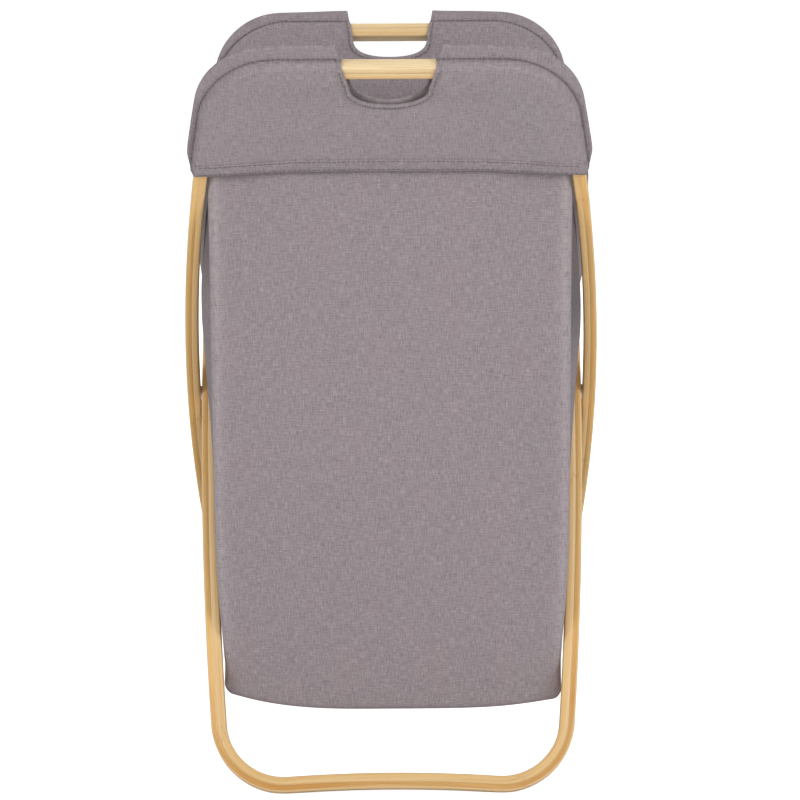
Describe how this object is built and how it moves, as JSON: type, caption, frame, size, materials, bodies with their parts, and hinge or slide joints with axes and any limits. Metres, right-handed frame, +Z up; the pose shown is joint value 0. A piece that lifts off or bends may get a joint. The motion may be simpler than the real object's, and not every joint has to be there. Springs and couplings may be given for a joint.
{
  "type": "folding laundry hamper",
  "caption": "Folding X-frame laundry hamper: crossed bent-bamboo loops on a shared pivot line, upright fabric bag, and flaps with handle cut-outs over the top bars.",
  "frame": {"origin": "on the floor, midway between the front and rear foot bars, below the pivot line", "axes": "+Z up, +X to the right seen from the front, -Y the front (the side the outer loop's top leans to)"},
  "size_m": [0.3868, 0.371, 0.6845],
  "materials": {
    "bamboo": "satin laminated bamboo, two plies with a dark glue line",
    "fabric": "matt slubby plain weave, mauve grey",
    "fabric_trim": "matt folded and stitched edge of the same cloth",
    "steel": "zinc-plated, satin",
    "nylon": "natural nylon"
  },
  "bodies": {
    "pivots": {"right_pivot_screw": "steel", "right_pivot_sleeve_nut": "steel", "right_pivot_washer": "nylon", "left_pivot_screw": "steel", "left_pivot_sleeve_nut": "steel", "left_pivot_washer": "nylon"},
    "outer_frame": {"outer_frame_loop": "bamboo", "front_flap_outer_layer": "fabric", "front_flap_inner_layer": "fabric", "front_flap_hem_band": "fabric_trim", "front_handle_outer_binding": "fabric_trim", "front_handle_inner_binding": "fabric_trim"},
    "inner_frame": {"inner_frame_loop": "bamboo", "rear_flap_outer_layer": "fabric", "rear_flap_inner_layer": "fabric", "rear_flap_hem_band": "fabric_trim", "rear_handle_outer_binding": "fabric_trim", "rear_handle_inner_binding": "fabric_trim"},
    "bag": {"bag_front_panel": "fabric", "bag_back_panel": "fabric", "bag_right_gusset": "fabric", "bag_left_gusset": "fabric", "bag_base_panel": "fabric"}
  },
  "joints": [
    {"name": "outer_frame_fold", "type": "hinge", "parent": "pivots", "child": "outer_frame", "pos_m": [0, 0, 0.33725], "axis": [-1, 0, 0], "range_deg": [0, 23], "deforming": ["bag_front_panel", "bag_back_panel", "bag_right_gusset", "bag_left_gusset", "bag_base_panel"]},
    {"name": "inner_frame_fold", "type": "hinge", "parent": "pivots", "child": "inner_frame", "pos_m": [0, 0, 0.33725], "axis": [1, 0, 0], "range_deg": [0, 23]},
    {"name": "bag_rise", "type": "slide", "parent": "pivots", "child": "bag", "axis": [0, 0, 1], "range_m": [0, 0.0295]}
  ],
  "couplings": [
    {"joint": "inner_frame_fold", "follows": "outer_frame_fold", "ratio": 1},
    {"joint": "bag_rise", "follows": "outer_frame_fold", "m_per_rad": 0.0732}
  ]
}
